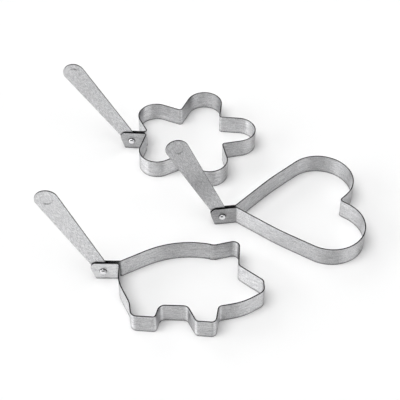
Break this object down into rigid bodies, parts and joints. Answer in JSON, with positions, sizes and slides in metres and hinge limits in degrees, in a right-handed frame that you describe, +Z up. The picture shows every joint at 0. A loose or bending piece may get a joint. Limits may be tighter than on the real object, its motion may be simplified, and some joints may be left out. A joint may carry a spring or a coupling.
{
  "type": "egg ring set",
  "caption": "Egg rings in the shape of a flower, a heart and a pig: bent steel strips, each with a flat folding handle riveted between two ears, for frying shaped eggs.",
  "frame": {"origin": "on the table plane, under the middle of the whole set's box", "axes": "+Z up from the table; each ring's ears and handle lead to -X from its rivet, and the rivet heads face -Y; the flower is at +Y, the pig at -Y and the heart at +X"},
  "size_m": [0.2336, 0.2459, 0.087],
  "materials": {
    "flower_strip_steel": "brushed stainless steel strip, fine grain along the strip",
    "flower_handle_steel": "brushed stainless steel, fine grain along the handle",
    "flower_rivet_steel": "smooth stainless steel, turned and set",
    "heart_strip_steel": "brushed stainless steel strip, fine grain along the strip",
    "heart_handle_steel": "brushed stainless steel, fine grain along the handle",
    "heart_rivet_steel": "smooth stainless steel, turned and set",
    "pig_strip_steel": "brushed stainless steel strip, fine grain along the strip",
    "pig_handle_steel": "brushed stainless steel, fine grain along the handle",
    "pig_rivet_steel": "smooth stainless steel, turned and set"
  },
  "bodies": {
    "pig_ring": {"pig_band": "pig_strip_steel", "pig_rivet": "pig_rivet_steel"},
    "pig_grip": {"pig_handle": "pig_handle_steel"},
    "heart_ring": {"heart_band": "heart_strip_steel", "heart_rivet": "heart_rivet_steel"},
    "heart_grip": {"heart_handle": "heart_handle_steel"},
    "flower_ring": {"flower_band": "flower_strip_steel", "flower_rivet": "flower_rivet_steel"},
    "flower_grip": {"flower_handle": "flower_handle_steel"}
  },
  "joints": [
    {"name": "heart_lift", "type": "slide", "parent": "pig_ring", "child": "heart_ring", "axis": [0, 0, 1], "range_m": [0, 0.06]},
    {"name": "flower_lift", "type": "slide", "parent": "pig_ring", "child": "flower_ring", "axis": [0, 0, 1], "range_m": [0, 0.06]},
    {"name": "flower_handle_fold", "type": "hinge", "parent": "flower_ring", "child": "flower_grip", "pos_m": [-0.0607, 0.0722, 0.008], "axis": [0.0593, 0.9982, 0], "range_deg": [-56.7, 121.3]},
    {"name": "heart_handle_fold", "type": "hinge", "parent": "heart_ring", "child": "heart_grip", "pos_m": [0.0111, -0.0137, 0.008], "axis": [-0.1374, 0.9905, 0], "range_deg": [-64, 114]},
    {"name": "pig_handle_fold", "type": "hinge", "parent": "pig_ring", "child": "pig_grip", "pos_m": [-0.0747, -0.0684, 0.008], "axis": [0.0105, 0.9999, 0], "range_deg": [-63.3, 114.7]}
  ]
}
